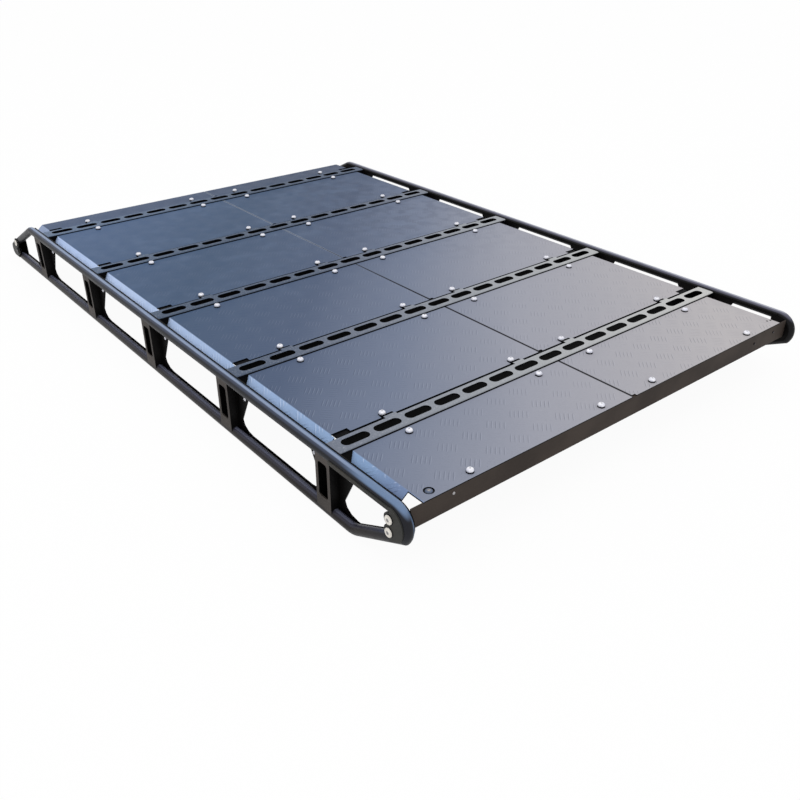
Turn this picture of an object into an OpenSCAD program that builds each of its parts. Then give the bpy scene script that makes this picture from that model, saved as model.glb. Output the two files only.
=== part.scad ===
// Flat platform roof rack: slotted crossbars, tread plate deck panels and bent tube side rails.
// X runs across the vehicle, Y along it towards the far end, Z up.
// The origin is the middle of the footprint, on the floor under the lower rails.

/* [Deck] */
// Number of slotted crossbars
bar_count = 5; // [3:1:6]
// Spacing of the crossbars, centre to centre
bar_pitch = 390; // [360:5:450]
// Clear width between the two side plates, which is the length of a crossbar
deck_w = 1231; // [1216:1:1400]
// From the nearest crossbar's centre to the near edge of the deck
near_bay = 236; // [200:1:300]
// From the last crossbar's centre to the far edge of the deck
far_bay = 112; // [80:1:200]

/* [Crossbars] */
// Width of a crossbar's top
bar_w = 50; // [44:1:60]
// Height of a crossbar
bar_h = 40; // [30:1:50]
// Wall of the folded crossbar
bar_t = 3; // [2:0.5:3.5]
// Outer radius of the crossbar's folds
bar_fold_r = 5; // [4:0.5:7]
// Length of a tie-down slot
slot_len = 66; // [40:1:70]
// Width of a tie-down slot
slot_w = 24; // [10:1:26]
// Spacing of the slots, centre to centre
slot_pitch = 80; // [74:1:80]
// Slots in each crossbar, an odd number so that one sits in the middle
slot_count = 15; // [5:2:15]
// Width of the ledge on each side that carries the panels
ledge_w = 34; // [24:1:40]
// Inward lip along each lower edge
lip_w = 8; // [4:1:12]

/* [Deck panels] */
// Thickness of the tread plate
sheet_t = 2.5; // [2:0.5:3]
// How far the tread plate lies below the crossbar tops
panel_sink = 4.5; // [3:0.5:6]
// From the side plate to the line where a panel folds down
fold_inset = 32; // [26:0.5:40]
// Angle of the folded edge below the deck
fold_angle = 40; // [20:1:60]
// Sloping width of the folded edge
flange_w = 22; // [12:1:24]
// Inner radius of the panel's fold
fold_r = 3; // [1:0.5:6]
// Gap behind each crossbar, on its far side
back_gap = 9; // [5:0.5:11]
// Gap in front of each crossbar, on its near side
front_gap = 1.5; // [1:0.5:4]
// Gap between the left and right panels
seam_gap = 2; // [1:0.5:4]
// Length of the relief that clears a crossbar's end
relief_len = 39; // [20:1:50]
// Depth of that relief
relief_deep = 13; // [6:1:16]
// Length of the pocket beside each screw behind a crossbar
pocket_len = 32; // [20:1:40]
// Depth of that pocket
pocket_deep = 7; // [4:1:9]
// How far the tab in that pocket reaches out from the crossbar
tab_out = 4.5; // [2:0.5:8]
// Length of the corner notch at the near edge, along the rail
corner_len = 43; // [20:1:60]
// Diameter of the hole round the screw at the left near corner
corner_hole_d = 22; // [14:1:24]
// Diameter of the two small holes at the right near corner
small_hole_d = 5.5; // [3:0.5:7]
// Size of the small notch at each seam's end
seam_notch = 12; // [6:1:16]

/* [Panel screws] */
// Outer screws, from the middle of the deck
screw_out_x = 460; // [420:1:500]
// Inner screws, from the middle of the deck
screw_in_x = 86; // [60:1:120]

/* [End members] */
// Height of the folded members that close the two ends of the deck
end_h = 45; // [40:1:60]
// Wall of those members
end_t = 3; // [2:0.5:4]
// Width of their top and bottom flanges
end_flange_w = 30; // [20:1:34]
// How far those flanges and the crossbars' ledges stop short of the panels' folds
seat_back = 2; // [1:0.5:6]

/* [Rails] */
// Diameter of the rail tube
tube_d = 23; // [19:1:26]
// Height between the centres of the upper and lower tubes
rail_rise = 131; // [120:1:150]
// How far a crossbar's top lies below the top of the upper tube
bar_sink = 6; // [2:1:8]
// How far the rails reach past the near edge of the deck
nose_reach = 21; // [16:0.5:40]
// How far the rails reach past the far edge of the deck
tail_reach = 192; // [180:1:260]
// Slope of the lower tube at the near end and of the upper tube at the far end
end_slope = 26; // [22:1:30]
// Radius of the gentle bends where those slopes begin
slope_bend_r = 60; // [40:5:100]
// Radius of the bend at the near nose
nose_bend_r = 36; // [30:1:44]
// Angle of that bend, up to the mitre with the lower tube
nose_turn = 125; // [110:1:130]
// Radius of the bend at the far end
tail_bend_r = 18; // [15:1:24]

/* [Side plates] */
// Thickness of the inner side plates
plate_t = 3; // [2:0.5:4]
// How far the plates lap over the tubes' centre lines
plate_lap = 2.5; // [1:0.5:5]
// From the upper tube's centre line down to the window tops
window_head = 1.5; // [1:0.5:6]
// From the lower tube's centre line up to the window sills
window_sill = 8; // [5:0.5:12]
// Width of the plate between two windows at the top
stem_top_w = 176; // [140:2:190]
// Width of the plate between two windows at its waist
waist_w = 76; // [60:2:90]
// Height of the waist above the lower tube's centre line
waist_up = 34; // [24:1:50]
// How far the plate widens below the waist, on each side
foot_w = 39; // [20:1:44]
// From the last crossbar to the near edge of the far window
tail_window_y = 112; // [90:1:120]

/* [Outer posts] */
// Width of a post along the rail
post_w = 48; // [44:1:60]
// How far a post's web lies inside the tubes' outer faces
post_inset = 0.5; // [0.5:0.5:3]
// Wall of the folded posts and end gussets
post_t = 3; // [2:0.5:4]
// Width of the upright slot in a post
post_slot_w = 30; // [16:1:32]
// Height of that slot
post_slot_h = 81; // [50:1:84]
// How far the slot's middle lies above mid height
post_slot_up = 6.5; // [0:0.5:7]
// Radius of that slot's corners
post_slot_r = 7; // [3:0.5:7.5]

/* [End gussets] */
// Radius of the lobes round the gusset bolts
lobe_r = 15; // [14:0.5:18]
// From the nose tip back to the near gusset's bolts
near_bolt_back = 46.5; // [44:0.5:54]
// Height of the near gusset's upper bolt above the floor
near_bolt_high = 118; // [110:0.5:120]
// Height of the near gusset's lower bolt above the floor
near_bolt_low = 91.5; // [80:0.5:94]
// How far the near gusset's arm hangs below the upper tube's centre line
arm_drop = 7; // [4:0.5:10]
// From the far tip back to the far gusset's bolts
far_bolt_back = 64; // [56:1:74]
// Height of the far gusset's upper bolt above the floor
far_bolt_high = 60; // [54:0.5:62]
// Height of the far gusset's lower bolt above the floor
far_bolt_low = 33; // [28:0.5:36]

/* [Hidden] */
$fn = 96;
cut = 1;
far = 4000;
arc_steps = 12;

// Joints of the bent tubes: lap of two chains, and the hair by which a straight is thinner inside a bend
splice = 10;
tube_slack = 0.05;
tube_plug = 1;
mitre_spare = 20;

// Share of the tube's radius at which a post's flanges end, and lap of the near gusset's arm over the tube
flange_share = 0.5;
arm_lap = 1;

// Where a pocket begins beside its screw, and how deep the notch at a seam's end is
pocket_back = pocket_len / 4;
notch_deep = seam_notch / 2;

// Corner holes, as distances in from the fold and from the deck's near edge
corner_hole = [26.5, 20.5];
small_holes = [[14.5, 26], [4, 23]];

function bar_names() = [for (i = [1:bar_count]) str("crossbar_", i)];
function panel_names() = [
    for (k = [1:bar_count + 1])
        for (name = ["left", "right"])
            str(name, "_deck_panel_", k)
];
function post_names() = [
    for (name = ["left", "right"])
        for (i = [1:bar_count])
            str(name, "_post_", i)
];
function side_names(part) = [for (name = ["left", "right"]) str(name, "_", part)];

// Layout along the rack
deck_l = near_bay + (bar_count - 1) * bar_pitch + far_bay;
rack_l = nose_reach + deck_l + tail_reach;
near_tip = -rack_l / 2;
far_tip = rack_l / 2;
deck_near = near_tip + nose_reach;
deck_far = far_tip - tail_reach;
function bar_y(i) = deck_near + near_bay + (i - 1) * bar_pitch;

// Layout across and up
tube_r = tube_d / 2;
low_z = tube_r;
high_z = low_z + rail_rise;
mid_z = (low_z + high_z) / 2;
bar_top = high_z + tube_r - bar_sink;
panel_top = bar_top - panel_sink;
ledge_top = panel_top - sheet_t;
rail_x = deck_w / 2 + plate_t + tube_r;
fold_x = deck_w / 2 - fold_inset;
seat_l = 2 * (fold_x - seat_back);
corner_drop = flange_w * sin(fold_angle) + sheet_t;

// Centre lines of the bent tubes, as points [y, z] in the rail's own plane
function on_circle(c, r, a) = c + r * [cos(a), sin(a)];
nose_c = [near_tip + tube_r + nose_bend_r, high_z - nose_bend_r];
nose_end = on_circle(nose_c, nose_bend_r, 90 + nose_turn);
mitre_half = (180 - nose_turn - end_slope) / 2;
ramp_foot = [nose_end[0] + (nose_end[1] - low_z) / tan(end_slope), low_z];
tail_c = [far_tip - tube_r - tail_bend_r, low_z + tail_bend_r];
tail_join = on_circle(tail_c, tail_bend_r, 90 - end_slope);
slope_top = [tail_join[0] - (high_z - tail_join[1]) / tan(end_slope), high_z];
slope_run = slope_bend_r * tan(end_slope / 2);

// Gusset bolts
near_bolts = [
    [near_tip + near_bolt_back, near_bolt_high],
    [near_tip + near_bolt_back, near_bolt_low]
];
far_bolts = [
    [far_tip - far_bolt_back, far_bolt_high],
    [far_tip - far_bolt_back, far_bolt_low]
];

// Turns a drawing of [y, z] points upright on one rail; local height runs outboard from the tube centres.
module on_side(side) {
    mirror([side < 0 ? 1 : 0, 0, 0])
        translate([rail_x, 0, 0])
            rotate([90, 0, 90])
                children();
}

// Puts a drawing that heads along its own +Y at a point of the rail's plane, heading towards the near or far end
module head_near(p) {
    translate([p[0], p[1], 0])
        rotate([0, 0, 90])
            children();
}

module head_far(p) {
    translate([p[0], p[1], 0])
        rotate([0, 0, -90])
            children();
}

// Straight tube along +Y from the origin, drawn into the bend before it by a hair's less radius
module straight(length) {
    translate([0, -tube_plug, 0])
        rotate([-90, 0, 0])
            cylinder(r = tube_r - tube_slack, h = tube_plug + length);
}

// Straight tube that comes in along +Y to the origin
module straight_before(length) {
    rotate([90, 0, 0])
        cylinder(r = tube_r, h = length);
}

// Bend to the left from the origin; what follows is drawn heading on from its end
module bend_left(r, angle) {
    translate([-r, 0, 0]) {
        rotate_extrude(angle = angle)
            translate([r, 0])
                circle(r = tube_r);
        rotate([0, 0, angle])
            translate([r, 0, 0])
                children();
    }
}

// Block that cuts away what lies past the mitre of nose and ramp; way is 1 for the nose and -1 for the ramp
module mitre_block(way) {
    size = 4 * tube_r;
    heading = (way > 0 ? 180 + nose_turn : 180 - end_slope) + way * mitre_half;
    translate([nose_end[0], nose_end[1], 0])
        rotate([0, 0, heading])
            translate([0, -size / 2, -size / 2])
                cube(size);
}

module upper_rail(side) {
    bend_y = slope_top[0] - slope_run;
    color("dimgray")
        on_side(side)
            difference() {
                union() {
                    head_near([nose_c[0], high_z]) {
                        straight_before(splice - nose_c[0]);
                        bend_left(nose_bend_r, nose_turn + mitre_spare);
                    }
                    head_far([bend_y, high_z])
                        mirror([1, 0, 0]) {
                            straight_before(splice + bend_y);
                            bend_left(slope_bend_r, end_slope)
                                straight(norm(tail_join - slope_top) - slope_run);
                        }
                }
                mitre_block(1);
            }
}

module lower_rail(side) {
    bend_y = ramp_foot[0] + slope_run;
    color("dimgray")
        on_side(side)
            difference() {
                union() {
                    head_near([bend_y, low_z])
                        mirror([1, 0, 0]) {
                            straight_before(splice - bend_y);
                            bend_left(slope_bend_r, end_slope)
                                straight(norm(nose_end - ramp_foot) - slope_run + tube_d);
                        }
                    head_far([tail_c[0], low_z]) {
                        straight_before(splice + tail_c[0]);
                        bend_left(tail_bend_r, 180 - end_slope);
                    }
                }
                mitre_block(-1);
            }
}

function arc_points(c, r, from, to, steps) = [
    for (k = [0:steps]) on_circle(c, r, from + (to - from) * k / steps)
];

module plate_outline() {
    polygon(concat(
        [[slope_top[0], high_z + plate_lap]],
        arc_points(nose_c, nose_bend_r + plate_lap, 90, 90 + nose_turn, arc_steps),
        [on_circle(nose_end, plate_lap, 180)],
        [[ramp_foot[0], low_z - plate_lap]],
        arc_points(tail_c, tail_bend_r + plate_lap, -90, 90 - end_slope, arc_steps)
    ));
}

// Edge of the plate that rises to the crossbar tops beside the deck
module plate_rim() {
    rim_l = min(deck_far, slope_top[0]) - nose_c[0];
    translate([nose_c[0], mid_z])
        square([rim_l, bar_top - mid_z]);
}

// Window edge beside the stem of one crossbar: wide at the top, a waist, then a flared foot
function stem_edge(y, way) = concat(
    [[y + way * stem_top_w / 2, high_z - window_head]],
    [
        for (a = [0:30:90])
            [
                y + way * (waist_w / 2 + foot_w * (1 - cos(a))),
                low_z + waist_up - (waist_up - window_sill) * sin(a)
            ]
    ]
);

function reversed(list) = [for (k = [len(list) - 1:-1:0]) list[k]];

module plate_windows() {
    for (i = [1:bar_count - 1])
        polygon(concat(stem_edge(bar_y(i), 1), reversed(stem_edge(bar_y(i + 1), -1))));
    ramp_sill = window_sill / cos(end_slope);
    near_y = near_bolts[0][0] + lobe_r;
    polygon(concat(
        stem_edge(bar_y(1), -1),
        [
            [ramp_foot[0], low_z + window_sill],
            [near_y, low_z + ramp_sill + (ramp_foot[0] - near_y) * tan(end_slope)],
            [near_y, high_z - window_head]
        ]
    ));
    tail_near = bar_y(bar_count) + tail_window_y;
    tail_far = far_bolts[0][0] - lobe_r;
    polygon(concat(
        [
            [tail_near, low_z + window_sill],
            [tail_far, low_z + window_sill],
            [tail_far, tail_head(tail_far)]
        ],
        slope_top[0] > tail_near ? [[slope_top[0], tail_head(slope_top[0])]] : [],
        [[tail_near, tail_head(tail_near)]]
    ));
}

// Top edge of the far window, level and then along the slope
function tail_head(y) =
    high_z - window_head / cos(end_slope) - max(0, y - slope_top[0]) * tan(end_slope);

module side_plate(side) {
    color("black")
        on_side(side)
            translate([0, 0, -tube_r - plate_t])
                linear_extrude(plate_t)
                    difference() {
                        union() {
                            plate_outline();
                            plate_rim();
                        }
                        plate_windows();
                    }
}

// Two rounded ends and a middle, centred, with its long side along X
module slot_shape(length, width) {
    square([length - width, width], center = true);
    for (end = [-1, 1])
        translate([end * (length - width) / 2, 0])
            circle(d = width);
}

// Upright opening with rounded corners, centred
module rounded_slot(width, height, r) {
    square([width - 2 * r, height], center = true);
    square([width, height - 2 * r], center = true);
    for (x = [-1, 1])
        for (y = [-1, 1])
            translate([x * (width / 2 - r), y * (height / 2 - r)])
                circle(r = r);
}

// Folded channel between the tubes: an outer web and two flanges, all coped to both tubes
module post(side, i) {
    web_face = tube_r - post_inset;
    flange_low = low_z + tube_r * flange_share;
    flange_high = high_z - tube_r * flange_share;
    color("dimgray")
        on_side(side)
            translate([bar_y(i), 0, 0])
                difference() {
                    union() {
                        translate([-post_w / 2, low_z, web_face - post_t])
                            cube([post_w, rail_rise, post_t]);
                        for (y = [-post_w / 2, post_w / 2 - post_t])
                            translate([y, flange_low, -tube_r])
                                cube([post_t, flange_high - flange_low, tube_r + web_face]);
                    }
                    for (z = [low_z, high_z])
                        translate([-post_w, z, 0])
                            rotate([0, 90, 0])
                                cylinder(r = tube_r, h = 2 * post_w);
                    translate([0, mid_z + post_slot_up, web_face - post_t - cut])
                        linear_extrude(post_t + 2 * cut)
                            rounded_slot(post_slot_w, post_slot_h, post_slot_r);
                }
}

module gusset_lobes(bolts) {
    for (p = bolts)
        translate(p)
            circle(r = lobe_r);
}

// Outer plate inside the near nose, lapping over the bend and the ramp up to their centre lines.
// Its arm runs under the upper tube to the first post.
module near_gusset(side) {
    lobe_y = near_bolts[0][0];
    edge = nose_end - plate_lap * [sin(end_slope), cos(end_slope)];
    color("dimgray")
        on_side(side)
            translate([0, 0, tube_r])
                linear_extrude(post_t)
                    union() {
                        gusset_lobes(near_bolts);
                        translate([lobe_y, high_z - arm_drop])
                            square([bar_y(1) - post_w / 2 - lobe_y, arm_drop + arm_lap]);
                        intersection() {
                            translate(nose_c)
                                circle(r = nose_bend_r + plate_lap);
                            polygon([
                                [lobe_y, high_z + tube_r],
                                [near_tip, high_z + tube_r],
                                [near_tip, edge[1] + (edge[0] - near_tip) * tan(end_slope)],
                                [lobe_y, edge[1] + (edge[0] - lobe_y) * tan(end_slope)]
                            ]);
                        }
                    }
}

// Outer plate inside the far loop, lapping over the tubes up to their centre lines
module far_gusset(side) {
    lobe_y = far_bolts[0][0];
    slope_z = high_z - (lobe_y - slope_top[0]) * tan(end_slope);
    color("dimgray")
        on_side(side)
            translate([0, 0, tube_r])
                linear_extrude(post_t)
                    union() {
                        gusset_lobes(far_bolts);
                        polygon(concat(
                            [[lobe_y, slope_z + plate_lap], [lobe_y, low_z - plate_lap]],
                            arc_points(tail_c, tail_bend_r + plate_lap, -90, 90 - end_slope, arc_steps)
                        ));
                    }
}

// Folded sheet section of a crossbar: top, walls and lower lips
module bar_section() {
    difference() {
        fold_block(bar_w, bar_h, bar_fold_r);
        translate([0, -bar_t])
            fold_block(bar_w - 2 * bar_t, bar_h, bar_fold_r - bar_t);
    }
    for (way = [-1, 1])
        translate([way * (bar_w - lip_w) / 2, bar_t / 2 - bar_h])
            square([lip_w, bar_t], center = true);
}

// Ledges on both sides of a crossbar that carry the panels, as far out as the folds
module bar_ledges() {
    drop = bar_top - ledge_top;
    for (way = [-1, 1])
        translate([0, way * (bar_w + ledge_w) / 2, -drop - bar_t / 2])
            cube([seat_l, ledge_w + bar_t, bar_t], center = true);
}

// Rectangle hanging from the origin with its two upper corners rounded
module fold_block(width, height, r) {
    translate([-width / 2, -height])
        square([width, height - r]);
    translate([r - width / 2, -height])
        square([width - 2 * r, height]);
    for (way = [-1, 1])
        translate([way * (width / 2 - r), -r])
            circle(r = r);
}

module crossbar(i) {
    color("slategray")
        translate([0, bar_y(i), bar_top])
            difference() {
                union() {
                    translate([-deck_w / 2, 0, 0])
                        rotate([90, 0, 90])
                            linear_extrude(deck_w)
                                bar_section();
                    bar_ledges();
                    bar_tabs();
                }
                for (k = [1:slot_count])
                    translate([(k - (slot_count + 1) / 2) * slot_pitch, 0, -bar_t - cut])
                        linear_extrude(bar_t + 2 * cut)
                            slot_shape(slot_len, slot_w);
            }
}

// Small tabs in the panel pockets beside the screws
module bar_tabs() {
    for (x = [-screw_out_x, -screw_in_x, screw_in_x, screw_out_x])
        translate([x - pocket_back, bar_w / 2 - bar_fold_r, -bar_t])
            cube([pocket_len - cut, bar_fold_r + tab_out, bar_t]);
}

// Cross member that closes one end of the deck; way is -1 at the near end and 1 at the far end.
// The corners of the far one's web are lower, so that the panels' folded edges pass over them.
module end_member(way) {
    edge = way < 0 ? deck_near : deck_far;
    low = ledge_top - end_h;
    corner_h = way > 0 ? end_h - corner_drop : end_h;
    color("dimgray")
        translate([0, edge, 0])
            mirror([0, way > 0 ? 1 : 0, 0]) {
                translate([-deck_w / 2, 0, low])
                    cube([deck_w, end_t, corner_h]);
                translate([-seat_l / 2, 0, low])
                    cube([seat_l, end_t, end_h]);
                for (z = [low, ledge_top - end_t])
                    translate([-seat_l / 2, 0, z])
                        cube([seat_l, end_flange_w, end_t]);
            }
}

// Sheet profile across the rack: flat to the fold, a bend, then the sloping edge
module panel_section() {
    outer_r = fold_r + sheet_t;
    start = seam_gap / 2;
    difference() {
        union() {
            translate([start, -outer_r])
                square([fold_x - start, outer_r]);
            translate([fold_x, -outer_r]) {
                circle(r = outer_r);
                rotate(-fold_angle)
                    square([flange_w, outer_r]);
            }
        }
        translate([0, -2 * outer_r - cut])
            square([fold_x, 2 * outer_r + cut - sheet_t]);
        translate([fold_x, -outer_r]) {
            circle(r = fold_r);
            rotate(-fold_angle)
                translate([0, -outer_r - cut])
                    square([flange_w + cut, outer_r + cut + fold_r]);
        }
    }
}

// Row k lies before crossbar k; way is -1 for the left panel and 1 for the right one
module deck_panel(way, k) {
    near = k == 1 ? deck_near : bar_y(k - 1) + bar_w / 2 + back_gap;
    end = k > bar_count ? deck_far : bar_y(k) - bar_w / 2 - front_gap;
    color("slategray")
        difference() {
            mirror([way < 0 ? 1 : 0, 0, 0])
                translate([0, near, panel_top])
                    mirror([0, 1, 0])
                        rotate([90, 0, 0])
                            linear_extrude(end - near)
                                panel_section();
            if (k == 1)
                near_edge_cuts(way, near);
            else
                bar_end_cuts(way, near);
            if (k <= bar_count)
                oblique_cut(way, end);
        }
}

// Rectangular cut through a panel from its edge; x and y give the cut's low corner
module edge_cut(x, y, length, depth) {
    translate([x, y, 0])
        cube([length, depth, far]);
}

module near_edge_cuts(way, near) {
    outer = fold_x + fold_r;
    edge_cut(way > 0 ? outer : -outer - corner_len, near - cut, corner_len, corner_len + cut);
    if (way > 0) {
        edge_cut(0, near - cut, seam_notch, notch_deep + cut);
        for (p = small_holes)
            translate([fold_x - p[0], near + p[1], 0])
                cylinder(d = small_hole_d, h = far);
    } else
        translate([corner_hole[0] - fold_x, near + corner_hole[1], 0])
            cylinder(d = corner_hole_d, h = far);
}

module bar_end_cuts(way, near) {
    outer = fold_x + fold_r;
    edge_cut(way > 0 ? outer - relief_len : -outer, near - cut, relief_len, relief_deep + cut);
    for (x = [screw_in_x, screw_out_x])
        edge_cut(way * x - pocket_back - cut, near - cut, pocket_len + cut, pocket_deep + cut);
    if (way > 0)
        edge_cut(0, near - cut, seam_notch, notch_deep + cut);
}

// Takes the corner off a folded edge where it meets the crossbar in front of it
module oblique_cut(way, end) {
    reach = flange_w * cos(fold_angle);
    mirror([way < 0 ? 1 : 0, 0, 0])
        linear_extrude(far)
            polygon([
                [fold_x + fold_r, end + cut],
                [fold_x + fold_r, end],
                [fold_x + fold_r + reach, end - reach],
                [fold_x + fold_r + 2 * reach, end - reach],
                [fold_x + fold_r + 2 * reach, end + cut]
            ]);
}

for (i = [1:bar_count])
    crossbar(i);
end_member(-1);  // near_end_member
end_member(1);  // far_end_member
for (k = [1:bar_count + 1]) {
    deck_panel(-1, k);
    deck_panel(1, k);
}
upper_rail(-1);  // left_upper_rail
upper_rail(1);  // right_upper_rail
lower_rail(-1);  // left_lower_rail
lower_rail(1);  // right_lower_rail
side_plate(-1);  // left_side_plate
side_plate(1);  // right_side_plate
for (i = [1:bar_count]) {
    post(-1, i);
    post(1, i);
}
near_gusset(-1);  // left_near_gusset
near_gusset(1);  // right_near_gusset
far_gusset(-1);  // left_far_gusset
far_gusset(1);  // right_far_gusset
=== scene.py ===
import math
import bpy
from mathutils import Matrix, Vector


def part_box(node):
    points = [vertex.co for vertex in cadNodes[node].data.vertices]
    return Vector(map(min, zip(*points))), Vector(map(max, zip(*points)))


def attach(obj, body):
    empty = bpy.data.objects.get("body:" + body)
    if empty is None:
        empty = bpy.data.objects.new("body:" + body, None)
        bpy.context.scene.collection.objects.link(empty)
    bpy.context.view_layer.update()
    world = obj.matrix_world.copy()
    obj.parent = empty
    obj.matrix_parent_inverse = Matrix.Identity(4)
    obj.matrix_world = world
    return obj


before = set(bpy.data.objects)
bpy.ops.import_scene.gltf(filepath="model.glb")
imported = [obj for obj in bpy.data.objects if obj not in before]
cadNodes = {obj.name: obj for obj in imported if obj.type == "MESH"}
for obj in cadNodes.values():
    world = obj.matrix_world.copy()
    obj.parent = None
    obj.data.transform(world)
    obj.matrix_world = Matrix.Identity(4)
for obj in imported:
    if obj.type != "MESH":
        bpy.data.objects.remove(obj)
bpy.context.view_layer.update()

print("frame loaded:", len(cadNodes), "nodes")


class Wire:  # one socket of a material's nodes, with arithmetic
    def __init__(self, paint, socket):
        self.paint, self.socket = paint, socket

    def math(self, operation, first, second):
        return self.paint.node("ShaderNodeMath", {"operation": operation}, {0: first, 1: second})

    def __add__(self, other):
        return self.math("ADD", self, other)

    def __radd__(self, other):
        return self.math("ADD", other, self)

    def __sub__(self, other):
        return self.math("SUBTRACT", self, other)

    def __rsub__(self, other):
        return self.math("SUBTRACT", other, self)

    def __mul__(self, other):
        return self.math("MULTIPLY", self, other)

    def __rmul__(self, other):
        return self.math("MULTIPLY", other, self)

    def rise(self, low, high):  # 0 below low, 1 above high, eased between
        return self.paint.node(
            "ShaderNodeMapRange",
            {"interpolation_type": "SMOOTHSTEP"},
            {0: self, 1: low, 2: high, 3: 0.0, 4: 1.0},
        )


class Paint:  # the nodes of one material or of the sky
    def __init__(self, owner):
        owner.use_nodes = True
        self.owner, self.tree = owner, owner.node_tree
        self.tree.nodes.clear()

    def node(self, kind, settings, inputs, out=0):
        made = self.tree.nodes.new(kind)
        for name, value in settings.items():
            if name == "stops":
                ramp = made.color_ramp
                while len(ramp.elements) < len(value):
                    ramp.elements.new(1.0)
                for element, (position, colour) in zip(ramp.elements, value):
                    element.position = position
                    element.color = colour
            else:
                setattr(made, name, value)
        for name, value in inputs.items():
            if isinstance(value, Wire):
                self.tree.links.new(value.socket, made.inputs[name])
            else:
                made.inputs[name].default_value = value
        return Wire(self, made.outputs[out]) if made.outputs else None

    def feed(self, name, wire):
        self.tree.links.new(wire.socket, self.shader.socket.node.inputs[name])

    def noise(self, scale, detail=2.0, rough=0.5):
        inputs = {"Vector": self.place, "Scale": scale, "Detail": detail, "Roughness": rough}
        return self.node("ShaderNodeTexNoise", {}, inputs)

    def axis(self, name, source=None):
        return self.node("ShaderNodeSeparateXYZ", {}, {0: source or self.place}, name)

    def mix(self, factor, first, second):
        return self.node("ShaderNodeMix", {"data_type": "RGBA"}, {0: factor, 6: first, 7: second}, 2)

    def grain(self, height, strength, distance):
        inputs = {"Height": height, "Strength": strength, "Distance": distance}
        self.feed("Normal", self.node("ShaderNodeBump", {}, inputs))


def coated(name, **fixed):
    paint = Paint(bpy.data.materials.new(name))
    paint.shader = paint.node("ShaderNodeBsdfPrincipled", {}, fixed)
    paint.node("ShaderNodeOutputMaterial", {}, {"Surface": paint.shader})
    paint.place = paint.node("ShaderNodeTexCoord", {}, {}, "Object")
    return paint


def seen(red, green, blue):  # a colour as it shows on a screen, turned into linear light
    parts = [v / 255 for v in (red, green, blue)]
    return (*(v / 12.92 if v <= 0.04045 else ((v + 0.055) / 1.055) ** 2.4 for v in parts), 1.0)


# Painted reflection: the satin coat's reflection of the sky is painted into its colour, cool and deep at the
# far left, pale and warm at the near right.
# Stops give a place along that run in metres and the colour there; those of the fold, its painted reflection,
# run along Y.
deckSheenAndShade = {
    "across": 0.719,
    "along": -0.695,
    "drift": 0.10,
    "range": (-1.0, 1.1),
    "foldRange": (-1.1, 1.1),
    "sheet": (
        (-0.9, (84, 106, 140)),
        (-0.4, (71, 91, 119)),
        (-0.05, (84, 98, 124)),
        (0.2, (118, 128, 150)),
        (0.5, (160, 162, 174)),
        (1.0, (190, 186, 188)),
    ),
    "crossbar": (
        (-0.9, (106, 124, 150)),
        (-0.4, (82, 96, 116)),
        (-0.1, (88, 100, 120)),
        (0.1, (116, 124, 140)),
        (0.4, (164, 168, 174)),
        (1.0, (208, 208, 206)),
    ),
    "leftFold": (
        (-0.97, (124, 144, 180)),
        (-0.88, (142, 170, 208)),
        (0.2, (194, 214, 248)),
        (0.9, (188, 210, 250)),
    ),
    "foldFrom": 0.584,
    "foldTo": 0.587,
    # shade: painted shade for faces not turned up, the dark gaps and the slot insides
    "shade": (4, 4, 7),
}
# Overlays on the coat: a colour and how strongly it lies there; seam is a painted highlight beside the panel
# seam
treadOverlays = {
    "grain": {"share": 0.10, "colour": (60, 64, 80)},
    "scuff": {"share": 0.16, "colour": (214, 216, 226)},
    "cloud": {"share": 0.12, "colour": (120, 140, 170)},
    "blotch": {"share": 0.22, "colour": (58, 66, 88)},
    "tail": {"share": 0.45, "colour": (78, 82, 98)},
    "seam": {"share": 0.5, "colour": (170, 180, 196)},
}
crossbarMarks = {
    "grain": {"share": 0.24, "colour": (50, 52, 62)},
    "speck": {"share": 0.26, "colour": (222, 222, 230)},
}
# Painted shade and painted highlight on the raised bars' flanks, by which way each flank faces: those that
# stand upright in the view show most, the others only at the near right
barFlankShading = {
    "slope": 0.707,
    "tilt": 0.454,
    "dark": (44, 52, 74),
    "light": (206, 214, 232),
    "lyingDark": 0.16,
    "lyingLight": 0.20,
}


def blended(paint, stops, place, reach):
    low, high = reach
    span = high - low
    ramp = [((p - low) / span, seen(*c)) for p, c in stops]
    return paint.node("ShaderNodeValToRGB", {"stops": ramp}, {0: (place - low) * (1 / span)})


def sheen(paint, stops):
    drift = (paint.noise(2.2, 3.0) - 0.5) * deckSheenAndShade["drift"]
    run = paint.axis("X") * deckSheenAndShade["across"] + paint.axis("Y") * deckSheenAndShade["along"] + drift
    return blended(paint, stops, run, deckSheenAndShade["range"])


def marked(paint, coat, mask, mark):
    return paint.mix(mask * mark["share"], coat, seen(*mark["colour"]))


def facing(paint, name):
    return paint.axis(name, paint.node("ShaderNodeNewGeometry", {}, {}, "Normal"))


def flankShadingOver(paint, coat, fold):
    slope = barFlankShading["slope"]
    across, along = facing(paint, "X"), facing(paint, "Y")
    upright = across * -slope + along * slope - fold * barFlankShading["tilt"]
    near = paint.axis("Y").rise(0.3, -1.0) * (0.45 + paint.noise(6).rise(0.35, 0.65) * 0.55)
    # painted shade on the flanks turned one way and painted highlight on those turned the other, strongest at
    # the near end
    dark = upright.rise(0.03, 0.22) * (near * 0.34 + 0.06) * (1 - fold)
    pale = (0 - upright).rise(0.04, 0.22) * (0.05 + near * 0.12 + fold * 0.40)
    # the bars lying the other way get weaker painted shade and highlight, only at the near right corner
    lying = across * slope + along * slope
    corner = paint.axis("X").rise(0.0, 0.45) * paint.axis("Y").rise(-0.45, -0.85)
    lyingDark = (0 - lying).rise(0.03, 0.22) * corner * barFlankShading["lyingDark"]
    pale = pale + lying.rise(0.03, 0.22) * corner * barFlankShading["lyingLight"]
    coat = paint.mix(dark, coat, seen(*barFlankShading["dark"]))
    coat = paint.mix(lyingDark, coat, seen(*barFlankShading["dark"]))
    return paint.mix(pale, coat, seen(*barFlankShading["light"]))


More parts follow.
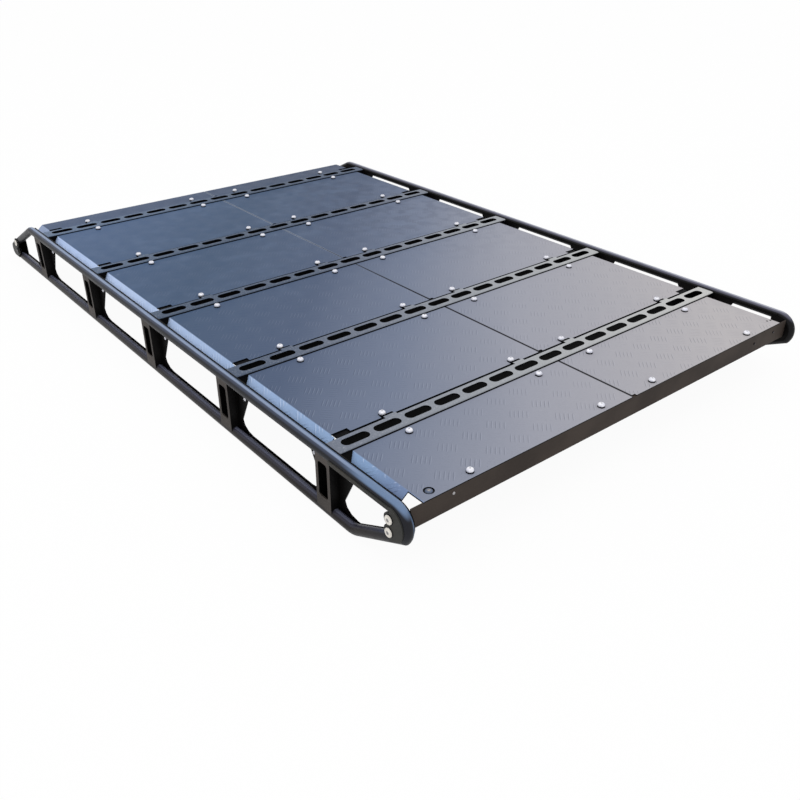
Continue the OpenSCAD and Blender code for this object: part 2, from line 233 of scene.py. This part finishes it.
def treadPaint(name, raised):
    paint = coated(name, IOR=1.45, **{"Specular IOR Level": 0.05})
    overlays = treadOverlays
    across, along = paint.axis("X"), paint.axis("Y")
    # painted reflection: the sheet and the folded left flange take the sky's reflection as painted colour
    fold = across.rise(-deckSheenAndShade["foldFrom"], -deckSheenAndShade["foldTo"])
    foldCoat = blended(paint, deckSheenAndShade["leftFold"], along, deckSheenAndShade["foldRange"])
    coat = paint.mix(fold, sheen(paint, deckSheenAndShade["sheet"]), foldCoat)
    fine = paint.noise(420, 3.0, 0.6)
    coat = marked(paint, coat, fine.rise(0.2, 0.8), overlays["grain"])
    scuff = paint.noise(34, 5.0, 0.65).rise(0.66, 0.80) * paint.noise(5, 2.0).rise(0.45, 0.7)
    coat = marked(paint, coat, scuff, overlays["scuff"])
    far = along.rise(-0.4, 0.3)
    coat = marked(paint, coat, paint.noise(17, 3.0).rise(0.45, 0.75) * far, overlays["cloud"])
    blotch = paint.noise(26, 2.0).rise(0.42, 0.62) * far * across.rise(-0.1, 0.4)
    coat = marked(paint, coat, blotch, overlays["blotch"])
    coat = marked(paint, coat, along.rise(0.72, 0.82), overlays["tail"])
    if raised:
        coat = flankShadingOver(paint, coat, fold)
    # Along the seam between the panels: a painted highlight line beside it on the far part; on the near part
    # painted shade widens the dark gap
    seam = across.rise(-0.0040, -0.0026) * across.rise(0.0040, 0.0026)
    coat = marked(paint, coat, seam * far, overlays["seam"])
    # painted shade: faces not turned up take the shade colour, and so does a band along the near part of the
    # seam
    unshaded = facing(paint, "Z").rise(0.15, 0.45) * (1 - seam * (1 - far) * 0.85)
    paint.feed("Base Color", paint.mix(unshaded, seen(*deckSheenAndShade["shade"]), coat))
    paint.feed("Roughness", 0.40 + paint.noise(30) * 0.12)
    paint.feed("Metallic", fold * 0.85)
    paint.grain(fine, 0.10, 0.0004)
    return paint.owner


def crossbarPaint():
    paint = coated("crossbarCoat", Metallic=0.0, IOR=1.45, **{"Specular IOR Level": 0.06})
    fine = paint.noise(900, 4.0, 0.7)
    # painted reflection of the sky along the run, with grain and specks over it
    coat = marked(paint, sheen(paint, deckSheenAndShade["crossbar"]), fine.rise(0.42, 0.60), crossbarMarks["grain"])
    coat = marked(paint, coat, paint.noise(300, 3.0, 0.6).rise(0.52, 0.75), crossbarMarks["speck"])
    # painted shade: faces below the crossbar's top and faces not turned up take the shade colour
    high = paint.axis("Z").rise(0.1452, 0.1466) * facing(paint, "Z").rise(0.15, 0.45)
    paint.feed("Base Color", paint.mix(high, seen(*deckSheenAndShade["shade"]), coat))
    paint.feed("Roughness", 0.45 + paint.noise(60) * 0.15)
    paint.grain(fine, 0.18, 0.0004)
    return paint.owner


# Tube coat with painted light, picked by how each face turns up: painted shade on the flank, a half-lit
# shoulder and a painted highlight line on top; the right rail stands in a greyer light
tubeLitAndShaded = {
    "left": ((30, 31, 37), (64, 71, 90), (136, 152, 181)),
    "right": ((6, 6, 9), (98, 98, 114), (168, 170, 184)),
    "low": ((36, 32, 32), (60, 59, 71), (106, 109, 128)),
    "inboardShade": (70, 94, 126),
    "nose": (112, 135, 168),
    "grain": {"share": 0.14, "colour": (24, 25, 30)},
}


def tubePaint():
    paint = coated("railCoat", Metallic=0.0, IOR=1.45, **{"Specular IOR Level": 0.2})
    tone = {name: [seen(*c) for c in tubeLitAndShaded[name]] for name in ("left", "right", "low")}
    right, low = paint.axis("X").rise(-0.1, 0.1), paint.axis("Z").rise(0.085, 0.035)
    parts = []
    for step in range(3):
        upper = paint.mix(right, tone["left"][step], tone["right"][step])
        parts.append(paint.mix(low, upper, tone["low"][step]))
    lit = facing(paint, "Z") + (paint.noise(9, 3.0) - 0.5) * 0.08
    shadedFlank, shoulder, highlightCrown = parts
    # painted shade on the flank, painted highlight on the crown
    coat = paint.mix(lit.rise(0.52, 0.88), shadedFlank, paint.mix(lit.rise(0.91, 0.99), shoulder, highlightCrown))
    left = (1 - right) * (1 - low)
    # painted shade on the inboard side of the left upper tube
    inboardShade = left * facing(paint, "X").rise(0.25, 0.55)
    coat = paint.mix(inboardShade, coat, seen(*tubeLitAndShaded["inboardShade"]))
    # painted reflection along the top of the left upper tube's near end
    nose = paint.axis("Y").rise(-0.84, -0.95) * left * paint.axis("Z").rise(0.112, 0.128)
    coat = paint.mix(nose * lit.rise(0.46, 0.84), coat, seen(*tubeLitAndShaded["nose"]))
    fine = paint.noise(700, 3.0, 0.6)
    paint.feed("Base Color", marked(paint, coat, fine.rise(0.3, 0.8), tubeLitAndShaded["grain"]))
    paint.feed("Roughness", 0.32 + paint.noise(40) * 0.14)
    paint.grain(fine, 0.12, 0.0003)
    return paint.owner


# Painted shade: the optional flank colour is a darker colour painted on faces turned along the rack, as on the
# posts' flanges
def darkPaint(name, low, high, rough, level, shadedFlank=None):  # flank: faces turned along the rack
    paint = coated(name, Metallic=0.0, IOR=1.45, **{"Specular IOR Level": level})
    cloud = paint.noise(7, 3.0)
    fine = paint.noise(700, 3.0, 0.6)
    coat = paint.mix(cloud.rise(0.35, 0.65), seen(*low), seen(*high))
    if shadedFlank:
        turned = facing(paint, "Y")
        coat = paint.mix((turned * turned).rise(0.3, 0.7), coat, seen(*shadedFlank))
    paint.feed("Base Color", coat)
    paint.feed("Roughness", rough + fine * 0.12)
    paint.grain(fine, 0.15, 0.0003)
    return paint.owner


def brightPaint(name, low, high, rough, metal):
    paint = coated(name, Metallic=metal, IOR=1.5)
    cloud = paint.noise(160, 3.0)
    paint.feed("Base Color", paint.mix(cloud.rise(0.3, 0.7), seen(*low), seen(*high)))
    paint.feed("Roughness", rough + paint.noise(500) * 0.1)
    paint.grain(cloud, 0.1, 0.0002)
    return paint.owner


paints = {
    "tread": treadPaint("treadPlate", False),
    "bars": treadPaint("treadBars", True),
    "crossbar": crossbarPaint(),
    "tube": tubePaint(),
    "sidePlate": darkPaint("sidePlateCoat", (6, 5, 5), (12, 10, 10), 0.50, 0.1),
    "post": darkPaint("postCoat", (58, 53, 50), (78, 72, 69), 0.46, 0.15, (9, 8, 8)),
    "gusset": darkPaint("gussetCoat", (40, 41, 39), (54, 52, 48), 0.42, 0.2),
    "endMember": darkPaint("endMemberCoat", (53, 46, 42), (65, 57, 52), 0.50, 0.1),
    "screw": brightPaint("brightScrew", (222, 224, 238), (250, 250, 255), 0.30, 0.2),
    "bolt": brightPaint("brightBolt", (218, 212, 202), (240, 236, 228), 0.36, 0.2),
    "socket": darkPaint("socketShade", (150, 148, 150), (182, 180, 182), 0.5, 0.3),
    "farBolt": darkPaint("farBoltCoat", (44, 44, 44), (58, 58, 58), 0.4, 0.3),
    "washer": darkPaint("washerShade", (14, 15, 20), (26, 27, 34), 0.55, 0.1),
    "corner": darkPaint("cornerScrewCoat", (62, 74, 96), (96, 108, 132), 0.36, 0.4),
}
paintOfNode = {
    "crossbar": "crossbar",
    "deck_panel": "tread",
    "rail": "tube",
    "side_plate": "sidePlate",
    "post": "post",
    "gusset": "gusset",
    "end_member": "endMember",
}
for name, node in cadNodes.items():
    finish = next(paints[paint] for word, paint in paintOfNode.items() if word in name)
    node.data.materials.clear()
    node.data.materials.append(finish)
print("materials:", len(paints))


def addPiece(name, points, faces, finishes, faceFinish=None):
    mesh = bpy.data.meshes.new(name)
    mesh.from_pydata(points, [], faces)
    for finish in finishes:
        mesh.materials.append(finish)
    for index, face in enumerate(mesh.polygons):
        face.use_smooth = True
        if faceFinish:
            face.material_index = faceFinish[index]
    mesh.update()
    piece = bpy.data.objects.new(name, mesh)
    bpy.context.scene.collection.objects.link(piece)
    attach(piece, "root")


# Tread plate: squares of five raised bars, turned a quarter from one square to the next
treadPattern = {
    "square": 0.0465,
    "spacing": 0.0086,
    "halfLength": 0.0170,
    "halfWidth": 0.0021,
    "height": 0.00038,
    "sink": 0.00005,
    "edgeMargin": 0.0012,
    "screwRoom": 0.0098,
    "shift": (0.011, 0.017),
    "farthest": 1.4,
    "window": (-0.05, 0.66),
    "samples": 8,
    "fewest": 6,
    "inSquare": (-2, -1, 0, 1, 2),
    "lengthways": (-1.0, -0.82, -0.45, 0.0, 0.45, 0.82, 1.0),
    "crossways": (-1.0, -0.5, 0.0, 0.5, 1.0),
}
# The panels' outline as the CAD cuts it, so that no raised bar crosses an edge; holes give x, distance in, room
deckSheet = {
    "foldX": 0.5835,
    "innerR": 0.003,
    "outerR": 0.0055,
    "foldAngle": math.radians(40),
    "foldWidth": 0.022,
    "seam": 0.001,
    "cornerNotch": 0.043,
    "reliefLength": 0.039,
    "reliefDepth": 0.013,
    "pocketBefore": 0.009,
    "pocketAfter": 0.024,
    "pocketDepth": 0.007,
    "seamNotch": (0.012, 0.006),
    "holes": ((-0.557, 0.0205, 0.0125), (0.569, 0.026, 0.004), (0.5795, 0.023, 0.004)),
}
# Heads are rings of radius and height above the face they stand on
panelScrews = {
    "xs": (-0.460, -0.086, 0.086, 0.460),
    "fromBar": 0.0435,
    "fromEdge": 0.0165,
    # the washer ring is coloured near black as a painted shadow under the head
    "washer": ((0.0082, 0.0), (0.0082, 0.0010), (0.0068, 0.0012), (0.0068, 0.0026)),
    "head": (
        (0.0074, 0.0028),
        (0.0076, 0.0040),
        (0.0073, 0.0058),
        (0.0064, 0.0073),
        (0.0048, 0.0084),
        (0.0030, 0.0088),
    ),
    "socket": ((0.0016, 0.0088), (0.0014, 0.0078)),
}
barNames = sorted(name for name in cadNodes if name.startswith("crossbar"))
barY = [(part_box(name)[0][1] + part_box(name)[1][1]) / 2 for name in barNames]
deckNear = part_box("left_deck_panel_1")[0][1]
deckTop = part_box("left_deck_panel_1")[1][2]
screwRows = [deckNear + panelScrews["fromEdge"]]
for y in barY:
    screwRows += [y - panelScrews["fromBar"], y + panelScrews["fromBar"]]


def sheetPoint(along, y, lift, side):
    sheet = deckSheet
    radius = sheet["outerR"] + lift
    turn = min(max(along - sheet["foldX"], 0) / sheet["outerR"], sheet["foldAngle"])
    rest = max(along - sheet["foldX"] - sheet["outerR"] * sheet["foldAngle"], 0)
    x = min(along, sheet["foldX"]) + radius * math.sin(turn) + rest * math.cos(turn)
    z = deckTop - sheet["outerR"] + radius * math.cos(turn) - rest * math.sin(turn)
    return (side * x, y, z)


def onSheet(along, y, side, row, near, far):
    sheet, edge = deckSheet, treadPattern["edgeMargin"]
    length = sheet["foldX"] + sheet["outerR"] * sheet["foldAngle"] + sheet["foldWidth"]
    if not (sheet["seam"] + edge < along < length - edge and near + edge < y < far - edge):
        return False
    x = side * along
    outer = sheet["foldX"] + sheet["innerR"]
    into = y - near - edge
    if row == 1 and along > outer - edge and into < sheet["cornerNotch"]:
        return False
    if row > 1 and outer - sheet["reliefLength"] - edge < along < outer + edge and into < sheet["reliefDepth"]:
        return False
    if row > 1 and into < sheet["pocketDepth"]:
        for screw in panelScrews["xs"]:
            if screw - sheet["pocketBefore"] - edge < x < screw + sheet["pocketAfter"] + edge:
                return False
    if side > 0 and along < sheet["seamNotch"][0] + edge and into < sheet["seamNotch"][1]:
        return False
    if row <= len(barY) and along - outer + edge > (far - y) > -1 and along > outer:
        return False
    if row == 1:
        for holeX, holeIn, holeRoom in sheet["holes"]:
            if math.hypot(x - holeX, y - near - holeIn) < holeRoom:
                return False
    for rowY in screwRows:
        if abs(y - rowY) < treadPattern["screwRoom"]:
            for screw in panelScrews["xs"]:
                if math.hypot(x - screw, y - rowY) < treadPattern["screwRoom"]:
                    return False
    return True


def stretchKept(start, run, side, row, near, far):  # the part of a bar that lies on the sheet
    kept = []
    samples = treadPattern["samples"]
    for q in range(-samples, samples + 1):
        at = treadPattern["halfLength"] * q / samples
        if onSheet(start[0] + run.x * at, start[1] + run.y * at, side, row, near, far):
            kept.append(at)
        elif kept and at > 0:
            break
        else:
            kept = []
    return kept


def barShell(start, run, beside, kept, side, points):  # adds one bar's points and gives its faces
    pattern = treadPattern
    mid, half = (kept[0] + kept[-1]) / 2, (kept[-1] - kept[0]) / 2
    first = len(points)
    for t in pattern["lengthways"]:
        wide = pattern["halfWidth"] * math.sqrt(max(1 - t * t, 0)) ** 0.8
        tall = pattern["height"] * (1 - t ** 4)
        for v in pattern["crossways"] if abs(t) < 1 else [0.0]:
            u = start[0] + run.x * (mid + half * t) + beside.x * wide * v
            y = start[1] + run.y * (mid + half * t) + beside.y * wide * v
            points.append(sheetPoint(u, y, tall * (1 - v * v) - pattern["sink"], side))
    ring = len(pattern["crossways"])
    rows = len(pattern["lengthways"]) - 2
    last = first + 1 + ring * rows
    shell = [(first, first + 1 + v, first + 2 + v) for v in range(ring - 1)]
    for s in range(rows - 1):
        a, b = first + 1 + ring * s, first + 1 + ring * (s + 1)
        shell += [(a + v, b + v, b + v + 1, a + v + 1) for v in range(ring - 1)]
    shell += [(last, last - ring + 1 + v, last - ring + v) for v in range(ring - 1)]
    return [face[::-1] for face in shell] if side < 0 else shell


def raisedBars(name, side, row):
    pattern = treadPattern
    low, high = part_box(name)
    near, far = low[1], high[1]
    points, faces = [], []
    step = pattern["square"] / math.sqrt(2)
    reach = int(pattern["farthest"] / step) + 2
    margin = pattern["window"][0]
    for i in range(-reach, reach + 1):
        for j in range(-reach, reach + 1):
            cu = (i - j) * step + pattern["shift"][0] * row
            cy = (i + j) * step + pattern["shift"][1] * row
            if not (margin < cu < pattern["window"][1] and near + margin < cy < far - margin):
                continue
            way = 1 if (i + j) % 2 == 0 else -1
            run = Vector((way, 1)).normalized()
            beside = Vector((1, -way)).normalized()
            for m in pattern["inSquare"]:
                start = (cu + beside.x * m * pattern["spacing"], cy + beside.y * m * pattern["spacing"])
                kept = stretchKept(start, run, side, row, near, far)
                if len(kept) >= pattern["fewest"]:
                    faces += barShell(start, run, beside, kept, side, points)
    addPiece(name.replace("deck_panel", "raised_bars"), points, faces, [paints["bars"]])
    return len(faces)


count = 0
for row in range(1, len(barY) + 2):
    count += raisedBars(f"left_deck_panel_{row}", -1, row)
    count += raisedBars(f"right_deck_panel_{row}", 1, row)
print("raised bars:", count, "faces")


headParts = {"head": 0, "socket": 1, "washer": 2}
headMesh = {"steps": 24, "socketDip": 0.0002}


def addHead(shape, centre, out, points, faces, finishOf):
    out = Vector(out).normalized()
    side = out.orthogonal().normalized()
    over = out.cross(side)
    steps = headMesh["steps"]
    rings = []
    for word in ("washer", "head", "socket"):
        rings += [(r, h, headParts[word]) for r, h in shape.get(word, ())]
    first = len(points)
    for radius, height, part in rings:
        for s in range(steps):
            angle = 2 * math.pi * s / steps
            hexagon = part == headParts["socket"]
            r = radius / math.cos((angle % (math.pi / 3)) - math.pi / 6) if hexagon else radius
            points.append(Vector(centre) + out * height + (side * math.cos(angle) + over * math.sin(angle)) * r)
    for ring in range(len(rings) - 1):
        for s in range(steps):
            a, b = first + ring * steps + s, first + ring * steps + (s + 1) % steps
            faces.append((a, b, b + steps, a + steps))
            finishOf.append(rings[ring][2])
    points.append(Vector(centre) + out * (rings[-1][1] - headMesh["socketDip"]))
    last = len(points) - 1
    for s in range(steps):
        a = first + (len(rings) - 1) * steps
        faces.append((a + s, a + (s + 1) % steps, last))
        finishOf.append(headParts["socket"])


def addHeads(name, shape, places, finish):
    points, faces, finishOf = [], [], []
    for centre, out in places:
        addHead(shape, centre, out, points, faces, finishOf)
    finishes = [paints[finish], paints["socket"], paints["washer"]]
    addPiece(name, points, faces, finishes, finishOf)


up = (0, 0, 1)
for index, y in enumerate(barY):
    places = []
    for x in panelScrews["xs"]:
        for way in (-1, 1):
            places.append(((x, y + way * panelScrews["fromBar"], deckTop), up))
    addHeads(f"panel_screws_{index + 1}", panelScrews, places, "screw")
edgeRow = [((x, screwRows[0], deckTop), up) for x in panelScrews["xs"]]
addHeads("edge_screws", panelScrews, edgeRow, "screw")

# Dark screw seen through the round hole at the left near corner, and small ones on the near member's face
cornerScrew = {
    "at": (-0.557, 0.0205),
    "washer": ((0.0105, 0.0), (0.0105, 0.0008), (0.0084, 0.0010)),
    "head": ((0.0074, 0.0010), (0.0072, 0.0022), (0.0062, 0.0032), (0.0046, 0.0036)),
    "socket": ((0.0032, 0.0036), (0.0029, 0.0016)),
}
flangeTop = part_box("near_end_member")[1][2]
x, into = cornerScrew["at"]
addHeads("corner_screw", cornerScrew, [((x, deckNear + into, flangeTop), up)], "corner")
cornerRivets = {
    "at": ((0.569, 0.026), (0.5795, 0.023)),
    "head": ((0.0026, 0.0), (0.0026, 0.0012), (0.0022, 0.0018), (0.0015, 0.0020)),
    "socket": ((0.0008, 0.0020), (0.0007, 0.0012)),
}
places = [((x, deckNear + into, flangeTop), up) for x, into in cornerRivets["at"]]
addHeads("corner_rivets", cornerRivets, places, "washer")
faceScrews = {
    "pale": ((-0.515, 0.130),),
    "dark": ((0.477, 0.119), (0.560, 0.125)),
    "head": ((0.0030, 0.0), (0.0030, 0.0005), (0.0026, 0.0012), (0.0018, 0.0017)),
    "socket": ((0.0009, 0.0017), (0.0008, 0.0010)),
}
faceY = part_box("near_end_member")[0][1]
for word, finish in (("pale", "socket"), ("dark", "washer")):
    places = [((x, faceY, z), (0, -1, 0)) for x, z in faceScrews[word]]
    addHeads(f"face_screws_{word}", faceScrews, places, finish)

gussetBolts = {
    "near": ((0.0465, 0.1180), (0.0465, 0.0900)),
    "far": ((0.0640, 0.0600), (0.0640, 0.0330)),
    "washer": ((0.0112, 0.0), (0.0112, 0.0008), (0.0102, 0.0010)),
    "head": ((0.0097, 0.0010), (0.0097, 0.0022), (0.0090, 0.0031), (0.0074, 0.0036)),
    "socket": ((0.0034, 0.0036), (0.0032, 0.0022)),
}
for side, word in ((-1, "left"), (1, "right")):
    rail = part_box(f"{word}_upper_rail"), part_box(f"{word}_lower_rail")
    tips = {"near": min(box[0][1] for box in rail), "far": max(box[1][1] for box in rail)}
    for end, way in (("near", 1), ("far", -1)):
        low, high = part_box(f"{word}_{end}_gusset")
        face = high[0] if side > 0 else low[0]
        places = [((face, tips[end] + way * back, z), (side, 0, 0)) for back, z in gussetBolts[end]]
        addHeads(f"{word}_{end}_upper_bolt", gussetBolts, places[:1], "bolt")
        lower = "bolt" if end == "near" else "farBolt"
        addHeads(f"{word}_{end}_lower_bolt", gussetBolts, places[1:], lower)

plateScrews = {
    "fromBar": 0.060,
    "height": 0.108,
    "head": ((0.0042, 0.0), (0.0042, 0.0005), (0.0038, 0.0014), (0.0028, 0.0021)),
    "socket": ((0.0014, 0.0021), (0.0013, 0.0010)),
}
for side, word in ((-1, "left"), (1, "right")):
    low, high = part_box(f"{word}_side_plate")
    face = high[0] if side > 0 else low[0]
    places = []
    for y in barY:
        for way in (-1, 1):
            places.append(((face, y + way * plateScrews["fromBar"], plateScrews["height"]), (side, 0, 0)))
    addHeads(f"{word}_plate_screws", plateScrews, places, "screw")
print("screws and bolts placed")

# Studio: white floor that keeps a faint shadow, even sky and one large soft lamp
studio = {
    "skyLight": 0.84,
    "lampPower": 36.0,
    "lampSize": 4.0,
    "lampAt": (-0.6, -0.5, 4.4),
    "shadowKept": 0.05,
    "floorHalf": 60,
    "floorColour": (0.97, 0.97, 0.97, 1),
}


def addFloor():
    mesh = bpy.data.meshes.new("studio_floor")
    half = studio["floorHalf"]
    corners = [(-half, -half, 0), (half, -half, 0), (half, half, 0), (-half, half, 0)]
    mesh.from_pydata(corners, [], [(0, 1, 2, 3)])
    paint = Paint(bpy.data.materials.new("floorWhite"))
    matt = paint.node("ShaderNodeBsdfDiffuse", {}, {"Color": studio["floorColour"], "Roughness": 0.0})
    white = paint.node("ShaderNodeEmission", {}, {"Color": (1, 1, 1, 1), "Strength": 1.0})
    direct = [paint.node("ShaderNodeLightPath", {}, {}, ray) for ray in ("Is Camera Ray", "Is Glossy Ray")]
    share = (direct[0] + direct[1]) * (1 - studio["shadowKept"])
    blend = paint.node("ShaderNodeMixShader", {}, {0: share, 1: matt, 2: white})
    paint.node("ShaderNodeOutputMaterial", {}, {"Surface": blend})
    mesh.materials.append(paint.owner)
    floor = bpy.data.objects.new("studio_floor", mesh)
    bpy.context.scene.collection.objects.link(floor)


def addSky():
    world = bpy.data.worlds.new("studioSky")
    bpy.context.scene.world = world
    sky = Paint(world)
    direct = [sky.node("ShaderNodeLightPath", {}, {}, ray) for ray in ("Is Camera Ray", "Is Glossy Ray")]
    plain = sky.node("ShaderNodeBackground", {}, {"Color": (1, 1, 1, 1), "Strength": studio["skyLight"]})
    white = sky.node("ShaderNodeBackground", {}, {"Color": (1, 1, 1, 1), "Strength": 1.0})
    blend = sky.node("ShaderNodeMixShader", {}, {0: direct[0] + direct[1], 1: plain, 2: white})
    sky.node("ShaderNodeOutputWorld", {}, {"Surface": blend})


def addLamp():
    lamp = bpy.data.lights.new("softLamp", "AREA")
    lamp.energy = studio["lampPower"]
    lamp.size = studio["lampSize"]
    holder = bpy.data.objects.new("softLamp", lamp)
    holder.location = studio["lampAt"]
    holder.rotation_euler = (-Vector(studio["lampAt"])).to_track_quat("-Z", "Y").to_euler()
    bpy.context.scene.collection.objects.link(holder)


# Solved on the photo's grid of crossbar slots
cameraView = {
    "at": (-1.37986, -1.94661, 1.05497),
    "turn": (1.04191, -0.00097, -0.68331),
    "lens": 38.49,
    "sensor": 36.0,
}


def addCamera():
    camera = bpy.data.cameras.new("camera")
    camera.lens = cameraView["lens"]
    camera.sensor_width = cameraView["sensor"]
    camera.sensor_fit = "HORIZONTAL"
    holder = bpy.data.objects.new("camera", camera)
    holder.location = cameraView["at"]
    holder.rotation_euler = cameraView["turn"]
    bpy.context.scene.collection.objects.link(holder)
    bpy.context.scene.camera = holder


addFloor()
addSky()
addLamp()
addCamera()
bpy.context.scene.view_settings.view_transform = "Standard"
print("studio and camera set")
